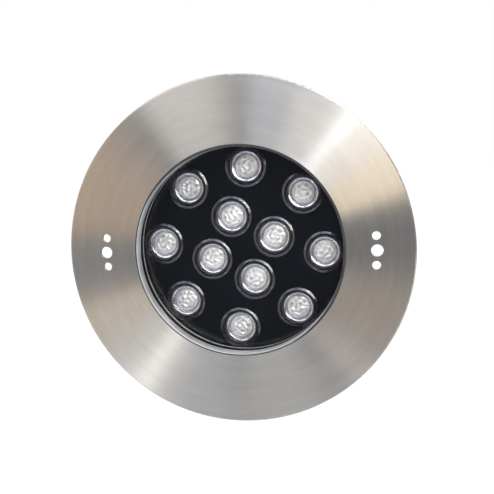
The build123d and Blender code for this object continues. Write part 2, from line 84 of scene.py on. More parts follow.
def new_group(name, inputs, outputs):
    """An empty node group with float inputs (name and value) and float outputs, and its two end nodes."""
    group = bpy.data.node_groups.new(name, "ShaderNodeTree")
    for socket, value in inputs:
        entry = group.interface.new_socket(socket, in_out="INPUT", socket_type="NodeSocketFloat")
        entry.default_value = value
    for socket in outputs:
        group.interface.new_socket(socket, in_out="OUTPUT", socket_type="NodeSocketFloat")
    return group, group.nodes.new("NodeGroupInput"), group.nodes.new("NodeGroupOutput")


def turned_lines_group():
    """Lathe and brushing lines round the lamp's axis.

    The noise's first coordinate is the distance from the axis plus the depth along it, times the rings per
    metre. The other two are the cosine and the sine of the angle, times the arc breaks. So the noise is
    stretched along the circle, and reads as fine rings that start and stop. The same noise, nine times
    coarser along the radius, gives broad bands.
    """
    group, given, made = new_group(
        "turned_lines", [("Rings per metre", 2400.0), ("Arc breaks", 3.0)], ["Lines", "Bands"]
    )
    place = add(group, "SeparateXYZ", {0: add(group, "TexCoord").outputs["Object"]})
    flat = add(group, "CombineXYZ", {"X": place.outputs["X"], "Y": place.outputs["Z"]})
    radius = add(group, "VectorMath", {0: flat.outputs[0]}, operation="LENGTH").outputs["Value"]
    heading = add(group, "VectorMath", {0: flat.outputs[0]}, operation="NORMALIZE").outputs[0]
    arc = add(group, "VectorMath", {0: heading, "Scale": given.outputs["Arc breaks"]}, operation="SCALE")
    arc_parts = add(group, "SeparateXYZ", {0: arc.outputs[0]})
    density = given.outputs["Rings per metre"]
    rings = add(group, "Math", {0: radius, 1: density}, operation="MULTIPLY")
    depth = add(group, "Math", {0: place.outputs["Y"], 1: density}, operation="MULTIPLY")
    spread = add(group, "Math", {0: rings.outputs[0], 1: depth.outputs[0]}, operation="ADD")
    for speed, socket in ((1.0, "Lines"), (0.11, "Bands")):
        slower = add(group, "Math", {0: spread.outputs[0], 1: speed}, operation="MULTIPLY")
        spot = add(
            group,
            "CombineXYZ",
            {"X": slower.outputs[0], "Y": arc_parts.outputs["X"], "Z": arc_parts.outputs["Y"]},
        )
        values = {"Vector": spot.outputs[0], "Scale": 1.0, "Detail": 2.0, "Roughness": 0.6}
        noise = add(group, "TexNoise", values)
        group.links.new(noise.outputs["Fac"], made.inputs[socket])
    return group


def fine_grain_group():
    """Grain of moulded, cast or pickled surfaces: fine noise for the grain, slow noise for the cloudiness."""
    group, given, made = new_group("fine_grain", [("Grains per metre", 1500.0)], ["Grain", "Cloud"])
    place = add(group, "TexCoord").outputs["Object"]
    for speed, detail, socket in ((1.0, 2.0, "Grain"), (0.03, 3.0, "Cloud")):
        scale = add(group, "Math", {0: given.outputs["Grains per metre"], 1: speed}, operation="MULTIPLY")
        noise = add(group, "TexNoise", {"Vector": place, "Scale": scale.outputs[0], "Detail": detail})
        group.links.new(noise.outputs["Fac"], made.inputs[socket])
    return group


turned_lines = turned_lines_group()
fine_grain = fine_grain_group()


def ramp(tree, value, low, high):
    """Two colours or two values, mixed by a mask that runs from about 0.3 to 0.7."""
    spread = add(tree, "MapRange", {"Value": value, "From Min": 0.3, "From Max": 0.7})
    if isinstance(low, tuple):
        mix = add(tree, "Mix", {"Factor": spread.outputs[0]}, data_type="RGBA")
        mix.inputs[6].default_value = (*low, 1)
        mix.inputs[7].default_value = (*high, 1)
        return mix.outputs[2]
    spread.inputs["To Min"].default_value = low
    spread.inputs["To Max"].default_value = high
    return spread.outputs[0]


def start_finish(finish, marks, mark_values, colors, roughness, bump, metallic=0.0, **plain):
    """A material by the name of its finish: a marks group drives its colour, roughness and bump.

    colors and roughness are pairs that the slow and the fine marks mix. bump is the height of the fine
    marks in metres. plain holds constant values for the shader's own sockets.
    """
    material = bpy.data.materials.new(finish)
    material.use_nodes = True
    tree = material.node_tree
    shader = tree.nodes["Principled BSDF"]
    shader.inputs["Metallic"].default_value = metallic
    for name, value in plain.items():
        shader.inputs[name.replace("_", " ")].default_value = value
    source = add(tree, "Group", node_tree=marks)
    for name, value in mark_values.items():
        source.inputs[name].default_value = value
    fine, slow = source.outputs[0], source.outputs[1]
    tree.links.new(ramp(tree, slow, *colors), shader.inputs["Base Color"])
    tree.links.new(ramp(tree, fine, *roughness), shader.inputs["Roughness"])
    relief = add(tree, "Bump", {"Height": fine, "Distance": bump, "Strength": 1.0})
    tree.links.new(relief.outputs[0], shader.inputs["Normal"])
    return material, tree, shader


def dress(slot, material):
    """Gives a material to every CAD node of one slot."""
    for entry in frame["record"]["subparts"]:
        if entry["material_slot"] == slot:
            for place in frame["nodes"][entry["node"]].material_slots:
                place.material = material


def brush_round(tree, shader):
    """Lays the stretch of a finish's reflections across brushing that runs round the lamp's axis."""
    grain_way = add(tree, "Tangent", direction_type="RADIAL", axis="Y")
    tree.links.new(grain_way.outputs[0], shader.inputs["Tangent"])


def facing_axis(tree):
    """How far the surface faces along the lamp's axis: its normal's Y without the sign, from 0 to 1."""
    facing = add(tree, "SeparateXYZ", {0: add(tree, "NewGeometry").outputs["True Normal"]}).outputs["Y"]
    return add(tree, "Math", {0: facing}, operation="ABSOLUTE").outputs[0]


def shade(tree, shader, mask, value, socket="Base Color"):
    """Mixes what drives a finish's colour, or another of its sockets, towards one value by a mask."""
    mix = add(tree, "Mix", {"Factor": mask}, data_type="RGBA")
    tree.links.new(shader.inputs[socket].links[0].from_socket, mix.inputs[6])
    mix.inputs[7].default_value = value
    tree.links.new(mix.outputs[2], shader.inputs[socket])


material, tree, shader = start_finish(
    "brushed_face",
    turned_lines,
    {"Rings per metre": 2600.0, "Arc breaks": 2.5},
    colors=((0.59, 0.585, 0.575), (0.645, 0.64, 0.63)),
    roughness=(0.28, 0.35),
    bump=0.000002,
    metallic=1.0,
    Anisotropic=1.0,
    Anisotropic_Rotation=0.25,
)
brush_round(tree, shader)
# The cut edges of the sheet and the walls of its holes weren't brushed, so they are darker and duller. They
# start where the surface turns away from the axis, and are all unbrushed from 60 degrees on.
edge_start = 0.98
edge_full = 0.5
edge_grey = (0.30, 0.295, 0.285, 1)
edge_rough = (0.5, 0.5, 0.5, 1)
edge = add(tree, "MapRange", {"Value": facing_axis(tree), "From Min": edge_start, "From Max": edge_full})
shade(tree, shader, edge.outputs[0], edge_grey)
shade(tree, shader, edge.outputs[0], edge_rough, "Roughness")
dress("brushed_plate", material)

# Window sleeve: a thin ring of satin steel, pressed into the window's bore in front of the glass. A dark line
# runs along the joint between its front edge and the faceplate, and it widens into painted shade over the
# window's rounded edge.
def grid_faces(points, capped):
    """Corner numbers of the faces of one grid of points, turned outwards by the sign of its volume.

    Columns run round the piece and back to the first. Where capped, the first and the last row have
    shrunk to one point each. Otherwise the last row joins the first, as on a ring.
    """
    rows, columns = points.shape[:2]
    row, column = np.meshgrid(np.arange(rows - 1 if capped else rows), np.arange(columns), indexing="ij")
    row, column = row.ravel(), column.ravel()
    beside, below = (column + 1) % columns, (row + 1) % rows
    corners = np.column_stack(
        (row * columns + column, row * columns + beside, below * columns + beside, below * columns + column)
    )
    if capped:
        last = (rows - 1) * columns
        corners = np.where(corners < columns, 0, corners)
        corners = np.where(corners >= last, last, corners)
    flat = points.reshape(-1, 3)
    a, b, c, d = (flat[corners[:, k]] - flat.mean(axis=0) for k in range(4))
    volume = np.einsum("ij,ij->i", np.cross(a, b), c).sum() + np.einsum("ij,ij->i", np.cross(a, c), d).sum()
    return corners if volume > 0 else corners[:, ::-1]


def skin(name, grids, capped, material, body="lamp_body"):
    """One piece from one or more closed grids of points, smooth, in its finish and riding on its body."""
    faces, points, used = [], [], 0
    for grid in grids:
        faces += [tuple(dict.fromkeys(face)) for face in (grid_faces(grid, capped) + used).tolist()]
        points += grid.reshape(-1, 3).tolist()
        used = len(points)
    mesh = bpy.data.meshes.new(name)
    mesh.from_pydata(points, [], faces)
    tidy = bmesh.new()
    tidy.from_mesh(mesh)
    bmesh.ops.delete(tidy, geom=[v for v in tidy.verts if not v.link_faces], context="VERTS")
    tidy.to_mesh(mesh)
    tidy.free()
    mesh.shade_smooth()
    mesh.materials.append(material)
    piece = bpy.data.objects.new(name, mesh)
    bpy.context.scene.collection.objects.link(piece)
    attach(piece, body)
    return piece


def turned(outline, centre, columns):
    """Points of a turned piece: (radius, depth) pairs of the outline carried round a line along Y.

    The outline may also have an axis of its own for the columns, between its rows and its pairs, where it
    changes on the way round.
    """
    angle = np.linspace(0, math.tau, columns, endpoint=False)
    pairs = outline if outline.ndim == 3 else outline[:, None]
    radius, depth = pairs[..., 0], pairs[..., 1]
    x = centre[0] + radius * np.cos(angle)
    z = centre[2] + radius * np.sin(angle)
    return np.stack((x, np.broadcast_to(depth, x.shape), z), axis=-1)


plate_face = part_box("faceplate")[0][1]
glass_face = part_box("window_glass")[0][1]
window_radius = 0.0718
window_round = 0.001
sleeve_wall = 0.0002
sleeve_gap = 0.0016
sleeve_front = plate_face + window_round
sleeve_back = glass_face - sleeve_gap
sleeve_pale_depth = 0.6 * sleeve_back
sleeve_pale = (0.86, 0.90, 0.95, 1)
sleeve_satin, tree, shader = start_finish(
    "sleeve_satin",
    turned_lines,
    {"Rings per metre": 3000.0, "Arc breaks": 1.5},
    colors=((0.52, 0.56, 0.605), (0.60, 0.64, 0.69)),
    roughness=(0.42, 0.52),
    bump=0.000003,
    metallic=0.45,
)
# The sleeve is painted paler with depth, as painted light that evens out the shade deeper in the bore.
depth = add(tree, "SeparateXYZ", {0: add(tree, "TexCoord").outputs["Object"]}).outputs["Y"]
deeper = add(tree, "MapRange", {"Value": depth, "From Min": sleeve_front, "From Max": sleeve_pale_depth})
shade(tree, shader, deeper.outputs[0], sleeve_pale)
round_centre = np.array((window_radius + window_round, plate_face + window_round))


def round_arc(start, end, lift):
    """Points over the window's rounded edge, from start to end of its quarter turn, lifted off the steel.

    The turn's places are 0 on the plate's face and 1 in the window's bore. Each point is the round's centre,
    less the sine of its angle towards the axis and less the cosine towards the front.
    """
    bend = np.linspace(start, end, 9) * math.pi / 2
    return round_centre + (window_round + lift) * np.stack((-np.sin(bend), -np.cos(bend)), axis=-1)


# The sleeve's front is flared over the rounded edge, from this place on its quarter turn.
flare_start = 0.3
flare_gap = 0.00001
flare_lift = 0.0001
outline = np.concatenate((
    ((window_radius, sleeve_back),),
    round_arc(flare_start, 1.0, flare_gap)[::-1],
    round_arc(flare_start, 1.0, flare_lift),
    ((window_radius - sleeve_wall, sleeve_front + sleeve_wall), (window_radius - sleeve_wall, sleeve_back)),
))
ring_columns = 256
skin("window_sleeve", [turned(outline, (0, 0, 0), ring_columns)], False, sleeve_satin)
# Finish of the dark line round the window: partly a joint line, and partly painted shade over the rounded
# edge.
sealant_dark = start_finish(
    "sealant_dark",
    fine_grain,
    {"Grains per metre": 1500.0},
    colors=((0.034, 0.035, 0.038), (0.050, 0.052, 0.056)),
    roughness=(0.45, 0.6),
    bump=0.00001,
    Specular_IOR_Level=0.25,
)[0]
# The dark line at the joint widens into painted shade over the window's rounded edge. Its width follows the
# cosine of the angle from its widest place, at the upper right, and is cut off at both ends, so two fifths of
# the way round are all thin and two fifths all wide.
bead_widest = math.radians(47.0)
bead_swing = 1.6
bead_angle = np.linspace(0, math.tau, ring_columns, endpoint=False)
bead_width = np.clip(0.5 + bead_swing * np.cos(bead_angle - bead_widest), 0, 1)
# It begins just off the round's start, and ends a little past the sleeve's flare or, where wide, in the bore.
bead_start = 0.04
bead_end_thin = flare_start + 0.03
bead_end_wide = 1.02
bead_end = bead_end_thin + (bead_end_wide - bead_end_thin) * bead_width
bead_lift = 0.00015
bead_sunk = 0.00005
# On the plate's face it is smeared out thin. Each row of the smear has its distance out and its height, and
# where the bead is thin the smear reaches only this share of the distance.
smear_share = 0.6
smear_rows = ((0.00058, 0.00001), (0.0004, 0.00005))
smear_reach = smear_share + (1 - smear_share) * bead_width
smear = np.stack([
    np.column_stack((round_centre[0] + out * smear_reach, np.full(ring_columns, plate_face - lift)))
    for out, lift in smear_rows
])
bead = np.concatenate((
    smear,
    round_arc(bead_start, bead_end, bead_lift),
    round_arc(0.0, bead_end, -bead_sunk)[::-1],
    smear[:1] + np.array((0.0, bead_sunk + smear_rows[0][1])),
))
skin("shade_line", [turned(bead, (0, 0, 0), ring_columns)], False, sealant_dark)

# Weld studs and flange nuts: drawn steel studs, welded upright to the plate's back, each with a rolled
# thread and a plain nut that clamps the can's flange. The small screws inside the can are finished alike.
fastener_steel = {}
for slot, tone in (("stud_steel", 0.52), ("nut_steel", 0.26), ("screw_steel", 0.45)):
    fastener_steel[slot] = start_finish(
        slot,
        fine_grain,
        {"Grains per metre": 2600.0},
        colors=((tone, tone, tone * 0.98), (tone + 0.1, tone + 0.1, tone + 0.09)),
        roughness=(0.24, 0.38),
        bump=0.00001,
        metallic=1.0,
    )[0]
    dress(slot, fastener_steel[slot])

stud_count = 8
stud_turn = math.radians(22.5)
stud_cad_radius = 0.002
stud_radius = 0.00198
stud_tip = 0.0004
stud_tip_share = 0.82
stud_columns = 32
thread_pitch = 0.0007
thread_depth = 0.0003
thread_rows = 8


def threaded(centre, start, end):
    """Points of a threaded stud along Y, capped at both ends.

    The radius falls from its full size by the thread's depth and back once a turn: the place across the
    thread is the depth along Y over the pitch, less the angle over a full turn. Over the length of the tip
    the radius narrows evenly to the tip's share of it, and a row of points on the axis closes each end.
    """
    along = np.linspace(start, end, int((end - start) / thread_pitch * thread_rows) + 1)[:, None]
    angle = np.linspace(0, math.tau, stud_columns, endpoint=False)[None, :]
    across = (along - start) / thread_pitch - angle / math.tau
    groove = np.abs(2 * (across - np.floor(across)) - 1)
    taper = np.clip((end - along) / stud_tip, 0, 1)
    shell = (stud_radius - thread_depth * (1 - groove)) * (stud_tip_share + (1 - stud_tip_share) * taper)
    x = centre[0] + shell * np.cos(angle)
    z = centre[2] + shell * np.sin(angle)
    body = np.stack((x, np.broadcast_to(along, x.shape), z), axis=-1)
    caps = [np.broadcast_to(np.array((centre[0], y, centre[2])), (1, stud_columns, 3)) for y in (start, end)]
    return np.concatenate((caps[0], body, caps[1]))


low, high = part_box("weld_studs")
stud_circle = (high[0] - stud_cad_radius) / math.cos(stud_turn)
grids = []
for step in range(stud_count):
    turn = stud_turn + math.tau * step / stud_count
    centre = (stud_circle * math.cos(turn), 0, stud_circle * math.sin(turn))
    grids.append(threaded(centre, low[1], high[1]))
piece = skin("threaded_studs", grids, True, fastener_steel["stud_steel"])
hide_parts("weld_studs")

# Housing can: deep drawn from 2 mm stainless sheet and pickled, so it is darker and duller than the plate.
# The drawing left faint rings round its axis. Its flange is clamped against the plate's back.
material, tree, shader = start_finish(
    "can_steel",
    turned_lines,
    {"Rings per metre": 700.0, "Arc breaks": 1.5},
    colors=((0.40, 0.40, 0.395), (0.50, 0.50, 0.49)),
    roughness=(0.32, 0.46),
    bump=0.000006,
    metallic=1.0,
    Anisotropic=0.8,
    Anisotropic_Rotation=0.25,
)
brush_round(tree, shader)
dress("can_steel", material)

# Gasket, gland seals and flange seal: black silicone, with the faint bloom that it gets in the mould. The
# flange seal is a thin bead of it, pressed out from under the can's flange all round its edge.
material = start_finish(
    "black_silicone",
    fine_grain,
    {"Grains per metre": 2200.0},
    colors=((0.006, 0.006, 0.008), (0.010, 0.010, 0.012)),
    roughness=(0.45, 0.65),
    bump=0.00001,
    Specular_IOR_Level=0.15,
)[0]
dress("black_silicone", material)
# The flange seal's outline is a quarter circle about the corner between the plate and the flange's edge, and
# its inner side is sunk into that edge.
can_low, can_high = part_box("housing_can")
flange_radius = (can_high[0] - can_low[0]) / 2
seal_bulge = 0.0009
seal_sunk = 0.0002
bend = np.linspace(0, math.pi / 2, 9)
bulge = np.column_stack((flange_radius + seal_bulge * np.cos(bend), can_low[1] + seal_bulge * np.sin(bend)))
seal_inner = flange_radius - seal_sunk
outline = np.concatenate((bulge, ((seal_inner, can_low[1] + seal_bulge), (seal_inner, can_low[1]))))
skin("flange_seal", [turned(outline, (0, 0, 0), ring_columns)], False, material)

# Seat ring: a turned stainless ring that carries the glass on the can's step. Its steel is painted near
# black, as painted shade for its place deep behind the glass, and only its chamfers keep the steel's own
# bright colour.
material, tree, shader = start_finish(
    "ring_steel",
    turned_lines,
    {"Rings per metre": 2400.0, "Arc breaks": 2.0},
    colors=((0.075, 0.075, 0.08), (0.10, 0.10, 0.105)),
    roughness=(0.26, 0.38),
    bump=0.000006,
    metallic=1.0,
)
# A chamfer is where the surface leans halfway between facing along the axis and across it, give or take.
chamfer_lean = math.sqrt(0.5)
chamfer_spread = 0.2
chamfer_bright = (0.62, 0.62, 0.63, 1)
chamfer = add(tree, "Math", {0: facing_axis(tree), 1: chamfer_lean, 2: chamfer_spread}, operation="COMPARE")
shade(tree, shader, chamfer.outputs[0], chamfer_bright)
dress("ring_steel", material)

# Window glass: 8 mm of tempered glass with ground edges, held by its gasket on the seat ring. Lamps reach
# through it as they do through the real pane, so its shadow is let through.
def clear_finish(finish, color, roughness, ior, passed):
    """A clear material. Shadow rays and diffuse rays pass straight through it, tinted by passed."""
    material = bpy.data.materials.new(finish)
    material.use_nodes = True
    tree = material.node_tree
    shader = tree.nodes["Principled BSDF"]
    shader.inputs["Base Color"].default_value = color
    shader.inputs["Roughness"].default_value = roughness
    shader.inputs["IOR"].default_value = ior
    shader.inputs["Transmission Weight"].default_value = 1.0
    path = add(tree, "LightPath")
    passing = add(tree, "BsdfTransparent", {"Color": passed})
    rays = {0: path.outputs["Is Shadow Ray"], 1: path.outputs["Is Diffuse Ray"]}
    let_through = add(tree, "Math", rays, operation="MAXIMUM")
    blend = add(tree, "MixShader", {0: let_through.outputs[0], 1: shader.outputs[0], 2: passing.outputs[0]})
    tree.links.new(blend.outputs[0], tree.nodes["Material Output"].inputs["Surface"])
    return material


material = clear_finish("clear_pane", (0.985, 0.99, 0.99, 1), 0.0, 1.45, (0.97, 0.975, 0.975, 1))
dress("window_glass", material)

# Deck: a black moulded cap with a high gloss, over the LED board. Each of its twelve holes has a raised lip
# that slopes outwards, and the lips catch the strip lamps as thin bright arcs.
def middle_of(node):
    """The middle of a CAD node's box."""
    low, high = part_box(node)
    return (np.array(low) + np.array(high)) / 2


material = start_finish(
    "deck_black",
    fine_grain,
    {"Grains per metre": 900.0},
    colors=((0.004, 0.005, 0.007), (0.006, 0.007, 0.010)),
    roughness=(0.08, 0.13),
    bump=0.0000005,
    IOR=1.38,
    Specular_IOR_Level=0.3,
)[0]
dress("deck_black", material)
lip_black = start_finish(
    "lip_black",
    fine_grain,
    {"Grains per metre": 700.0},
    colors=((0.010, 0.010, 0.012), (0.016, 0.016, 0.018)),
    roughness=(0.10, 0.16),
    bump=0.000001,
    IOR=1.75,
    Specular_Tint=(0.80, 0.90, 1.0, 1.0),
)[0]
deck_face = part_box("deck_cover")[0][1]
lens_names = [node for node in sorted(frame["nodes"]) if node.startswith("lens_") and node[5:].isdigit()]
lip_outer = 0.0146
lip_skirt = 0.01385
lip_crest = 0.0129
lip_inner = 0.0127
lip_rise = 0.0008
lip_power = 1.08
lip_corner = 0.0003
lip_depth = 0.0018
lip_lift = 0.00002
lip_columns = 96
slide = np.linspace(0, 1, 13)
# The slope rises from its outer edge to the crest, with a power of the way in. The skirt under it stands
# inside the deck's hole.
lip_slope = np.column_stack((
    lip_outer + (lip_crest - lip_outer) * slide,
    deck_face - lip_lift - lip_rise * slide**lip_power,
))
lip_under = (
    (lip_inner, deck_face - lip_rise + lip_corner),
    (lip_inner, deck_face + lip_depth),
    (lip_skirt, deck_face + lip_depth),
    (lip_skirt, deck_face - lip_lift / 2),
)
for node in lens_names:
    grid = turned(np.concatenate((lip_slope, lip_under)), middle_of(node), lip_columns)
    skin("deck_lip" + node[4:], [grid], False, lip_black)

# Lenses: clear moulded acrylic, one over each LED, pressed into a dark cup. The middle is a white field of
# fine beads over the LED, and the cone round it is silvered on its back.
material = clear_finish("clear_acrylic", (1.0, 1.0, 1.0, 1), 0.02, 1.49, (0.97, 0.97, 0.97, 1))
dress("lens_clear", material)

bead_white, tree, shader = start_finish(
    "bead_white",
    fine_grain,
    {"Grains per metre": 900.0},
    colors=((0.90, 0.93, 0.95), (0.97, 0.985, 1.0)),
    roughness=(0.08, 0.2),
    bump=0.00004,
    metallic=0.3,
)
# Painted shade between the beads: the colour falls to grey where the dents are shallow.
gap_start = 0.75
gap_full = -1.0
gap_grey = (0.40, 0.42, 0.46, 1)
dent = add(tree, "Attribute", attribute_name="dent").outputs["Fac"]
gaps = add(tree, "MapRange", {"Value": dent, "From Min": gap_start, "From Max": gap_full})
shade(tree, shader, gaps.outputs[0], gap_grey)
cone_silver = start_finish(
    "cone_silver",
    fine_grain,
    {"Grains per metre": 500.0},
    colors=((0.44, 0.45, 0.53), (0.55, 0.56, 0.65)),
    roughness=(0.10, 0.22),
    bump=0.000004,
    metallic=1.0,
)[0]
core_radius = 0.0078
core_top = 0.0034
core_crown = 0.0008
core_foot = 0.0052
core_foot_radius = core_radius * 1.01
core_turn = 2.4
bead_depth = 0.0003
edge_raise = 0.6
# The middle of each bead field is painted lighter, as painted light over the LED.
middle_raise = 0.75
middle_reach = 0.42
cone_inner = 0.0080
cone_outer = 0.0092
cone_top = 0.0012
cone_rise = 0.0027
cone_wall = 0.0005
cone_lean = 0.0001
step_height = 0.00008
step_inner = 0.35
step_outer = 0.7
step_width = 0.03
bezel_outer = 0.0104
bezel_top = 0.00088
lens_columns = 120
across = np.linspace(0, 1, 41)
angle = np.linspace(0, math.tau, lens_columns, endpoint=False)
# Over the two rows of the core's foot, which follow its top, the way out stays 1 and the dents are nought.
reach = np.concatenate((across, (1.0, 1.0)))[:, None]
fade = np.concatenate((np.sin(math.pi * across) ** 0.7, (0.0, 0.0)))[:, None]
steps = step_height * (
    np.tanh((across - step_inner) / step_width) - np.tanh((across - step_outer) / step_width)
)
for number, node in enumerate(lens_names):
    centre = middle_of(node)
    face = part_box(node)[0][1]
    # Bead field: a low dome with dents. Cosine waves across and up the field cross each other, each bent by
    # the other, and weaker waves run outwards over them. Each lens is turned by a different angle, as
    # the moulded lenses are when they are pressed in.
    outline = np.column_stack((core_radius * across, face + core_top + core_crown * across**2.5))
    foot = np.array(((core_foot_radius, face + core_foot), (0.0, face + core_foot)))
    grid = turned(np.concatenate((outline, foot)), centre, lens_columns)
    turn = angle + core_turn * number
    wide, high = reach * np.cos(turn), reach * np.sin(turn)
    dents = np.cos(8 * wide + 1.6 * np.sin(6 * high)) * np.cos(7 * high + 1.3 * np.cos(6 * wide))
    rings = 0.55 * np.cos(13 * reach + 0.9 * np.sin(2 * turn))
    pattern = fade * (dents + rings)
    grid[..., 1] += bead_depth * pattern
    piece = skin("lens_core" + node[4:], [grid], True, bead_white)
    # The attribute for the painted shade holds the same pattern. It is raised in the middle, over the LED, as
    # painted light, and towards the edge, where the beads end. At the two poles the grid's rows have shrunk
    # to one point.
    pattern = pattern + edge_raise * reach**2 + middle_raise * np.exp(-((reach / middle_reach) ** 2))
    values = np.concatenate((pattern[0, :1], pattern[1:-1].ravel(), pattern[-1, :1]))
    piece.data.attributes.new("dent", "FLOAT", "POINT").data.foreach_set("value", values)
    # Silvered cone: a steep bowl round the bead field, whose depth falls with the power 1.3 of the way
    # still to go, then a shallow bezel under the lens rim. Two moulded steps run round it.
    bowl = np.column_stack((
        cone_inner + (cone_outer - cone_inner) * across,
        face + cone_top + cone_rise * (1 - across) ** 1.3 + steps,
    ))
    bezel = np.column_stack((
        cone_outer + (bezel_outer - cone_outer) * across[1:],
        face + cone_top - (cone_top - bezel_top) * across[1:] ** 0.8,
    ))
    top = np.concatenate((bowl, bezel))
    back = top[::-1] + np.array((cone_lean, cone_wall))
    grid = turned(np.concatenate((top, back)), centre, lens_columns)
    skin("lens_cone" + node[4:], [grid], False, cone_silver)

# Cups: rings moulded of dark plastic, which stand round the LEDs. Each holds its lens by the rim, on a ledge,
# and has three fine ridges on its top.
material = start_finish(
    "holder_dark",
    fine_grain,
    {"Grains per metre": 1800.0},
    colors=((0.042, 0.041, 0.054), (0.070, 0.068, 0.088)),
    roughness=(0.18, 0.30),
    bump=0.000003,
)[0]
dress("holder_dark", material)
cup_wall = 0.0015
cup_corner = 0.0003
cup_columns = 96
ridge_height = 0.00012
ridge_count = 3
rim_fall = 0.0007
ledge_wall = 0.0022
ledge_inner = 0.0017
ledge_outer = 0.0016
floor_hole = 0.0040
floor_inner = 0.0012
floor_outer = 0.0014
along = np.linspace(0, 1, 31)
for node in lens_names:
    cup = "lens_holder" + node[4:]
    low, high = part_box(cup)
    lens_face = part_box(node)[0][1]
    cup_outer = (high[0] - low[0]) / 2
    cup_bore = cup_outer - cup_wall
    ledge_bore = cup_outer - ledge_wall
    # The rim falls outwards with the square of the way across it. A squared sine cuts the ridges.
    crest = low[1] + rim_fall * along**2 - ridge_height * np.sin(math.pi * ridge_count * along) ** 2
    top = np.column_stack((cup_bore + cup_corner + (cup_outer - cup_bore - 2 * cup_corner) * along, crest))
    # The outline runs from the cup's floor over the ledge that carries the lens, up the bore, over the rim,
    # down the outside and in to the hole round the LED.
    outline = np.concatenate((
        (
            (ledge_bore, high[1] - floor_outer),
            (ledge_bore, lens_face + ledge_inner),
            (cup_bore, lens_face + ledge_outer),
            (cup_bore, low[1] + cup_corner + ridge_height),
        ),
        top,
        (
            (cup_outer, top[-1, 1] + cup_corner),
            (cup_outer, high[1]),
            (floor_hole, high[1]),
            (floor_hole, high[1] - floor_inner),
        ),
    ))
    grid = turned(outline, middle_of(cup), cup_columns)
    piece = skin("lens_cup" + node[4:], [grid], False, material)
    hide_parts(cup)

# LEDs: a white ceramic base with a clear silicone dome over a pale yellow chip, soldered to the board. One
# warm white finish stands for all three.
material = start_finish(
    "emitter_white",
    fine_grain,
    {"Grains per metre": 2500.0},
    colors=((0.80, 0.79, 0.70), (0.9, 0.9, 0.86)),
    roughness=(0.25, 0.35),
    bump=0.000003,
)[0]
dress("emitter_white", material)

# Inside the can: the LED board is screwed to an aluminium heat sink, and the driver board, with its soldered
# parts and terminal block, is clamped between brass standoffs. Red wires join the boards. The gland's pale
# nylon claw is finished alike.
for slot, low, high, rough, metallic in (
    ("board_white", (0.76, 0.77, 0.77), (0.84, 0.85, 0.85), (0.3, 0.4), 0.0),
    ("sink_aluminium", (0.66, 0.67, 0.68), (0.76, 0.77, 0.78), (0.3, 0.45), 1.0),
    ("standoff_brass", (0.62, 0.46, 0.22), (0.74, 0.58, 0.30), (0.25, 0.35), 1.0),
    ("board_green", (0.03, 0.18, 0.08), (0.05, 0.24, 0.11), (0.3, 0.45), 0.0),
    ("part_black", (0.02, 0.02, 0.022), (0.05, 0.05, 0.055), (0.4, 0.6), 0.0),
    ("terminal_green", (0.05, 0.28, 0.13), (0.07, 0.36, 0.17), (0.35, 0.5), 0.0),
    ("wire_red", (0.35, 0.02, 0.02), (0.45, 0.03, 0.03), (0.4, 0.55), 0.0),
    ("claw_plastic", (0.70, 0.70, 0.66), (0.80, 0.80, 0.77), (0.4, 0.55), 0.0),
):
    grain = {"Grains per metre": 2000.0}
    material = start_finish(slot, fine_grain, grain, (low, high), rough, 0.000005, metallic)[0]
    dress(slot, material)

# Cable gland: brass, turned from hexagon bar and nickel plated, so it is a little warmer than the can. A
# locknut holds it in the middle of the can's back, and its turning lines run round the same axis.
material = start_finish(
    "gland_metal",
    turned_lines,
    {"Rings per metre": 1600.0, "Arc breaks": 1.2},
    colors=((0.40, 0.385, 0.355), (0.50, 0.485, 0.45)),
    roughness=(0.30, 0.42),
    bump=0.000006,
    metallic=1.0,
    Anisotropic=0.5,
    Anisotropic_Rotation=0.25,
)[0]
dress("gland_metal", material)

# Floor: a plain pale sheet below the lamp, from just in front of it to far behind. It is white to the
# camera and in the metal and glass, less the lamp's shadow.
floor_level = -0.30
floor_front = -0.22
floor_back = 8
floor_side = 4
floor_glow = 0.25
mesh = bpy.data.meshes.new("floor")
corners = [
    (-floor_side, floor_front, floor_level),
    (floor_side, floor_front, floor_level),
    (floor_side, floor_back, floor_level),
    (-floor_side, floor_back, floor_level),
]
mesh.from_pydata(corners, [], [(0, 1, 2, 3)])
floor = bpy.data.objects.new("floor", mesh)
bpy.context.scene.collection.objects.link(floor)
material = bpy.data.materials.new("pale_floor")
material.use_nodes = True
tree = material.node_tree
shader = tree.nodes["Principled BSDF"]
shader.inputs["Base Color"].default_value = (0.8, 0.8, 0.8, 1)
shader.inputs["Roughness"].default_value = 0.9
path = add(tree, "LightPath")
rays = {0: path.outputs["Is Camera Ray"], 1: path.outputs["Is Glossy Ray"]}
seen = add(tree, "Math", rays, operation="MAXIMUM")
seen = add(tree, "Math", {0: seen.outputs[0], 1: path.outputs["Is Transmission Ray"]}, operation="MAXIMUM")
glow = add(tree, "Math", {0: seen.outputs[0], 1: floor_glow}, operation="MULTIPLY")
shader.inputs["Emission Color"].default_value = (1, 1, 1, 1)
tree.links.new(glow.outputs[0], shader.inputs["Emission Strength"])
floor.data.materials.append(material)

# Studio: an even white surround, six dark cards and twelve soft boxes. The largest card stands behind the
# camera, for the window glass and the gloss black deck, and the others beside, above and behind the lamp,
# for its metal.
world = bpy.data.worlds.new("studio")
world.use_nodes = True
bpy.context.scene.world = world
background = world.node_tree.nodes["Background"]
background.inputs["Color"].default_value = (1, 1, 1, 1)
background.inputs["Strength"].default_value = 1.0

material = bpy.data.materials.new("card_cloth")
material.use_nodes = True
shader = material.node_tree.nodes["Principled BSDF"]
shader.inputs["Base Color"].default_value = (0.045, 0.052, 0.065, 1)
shader.inputs["Roughness"].default_value = 1.0


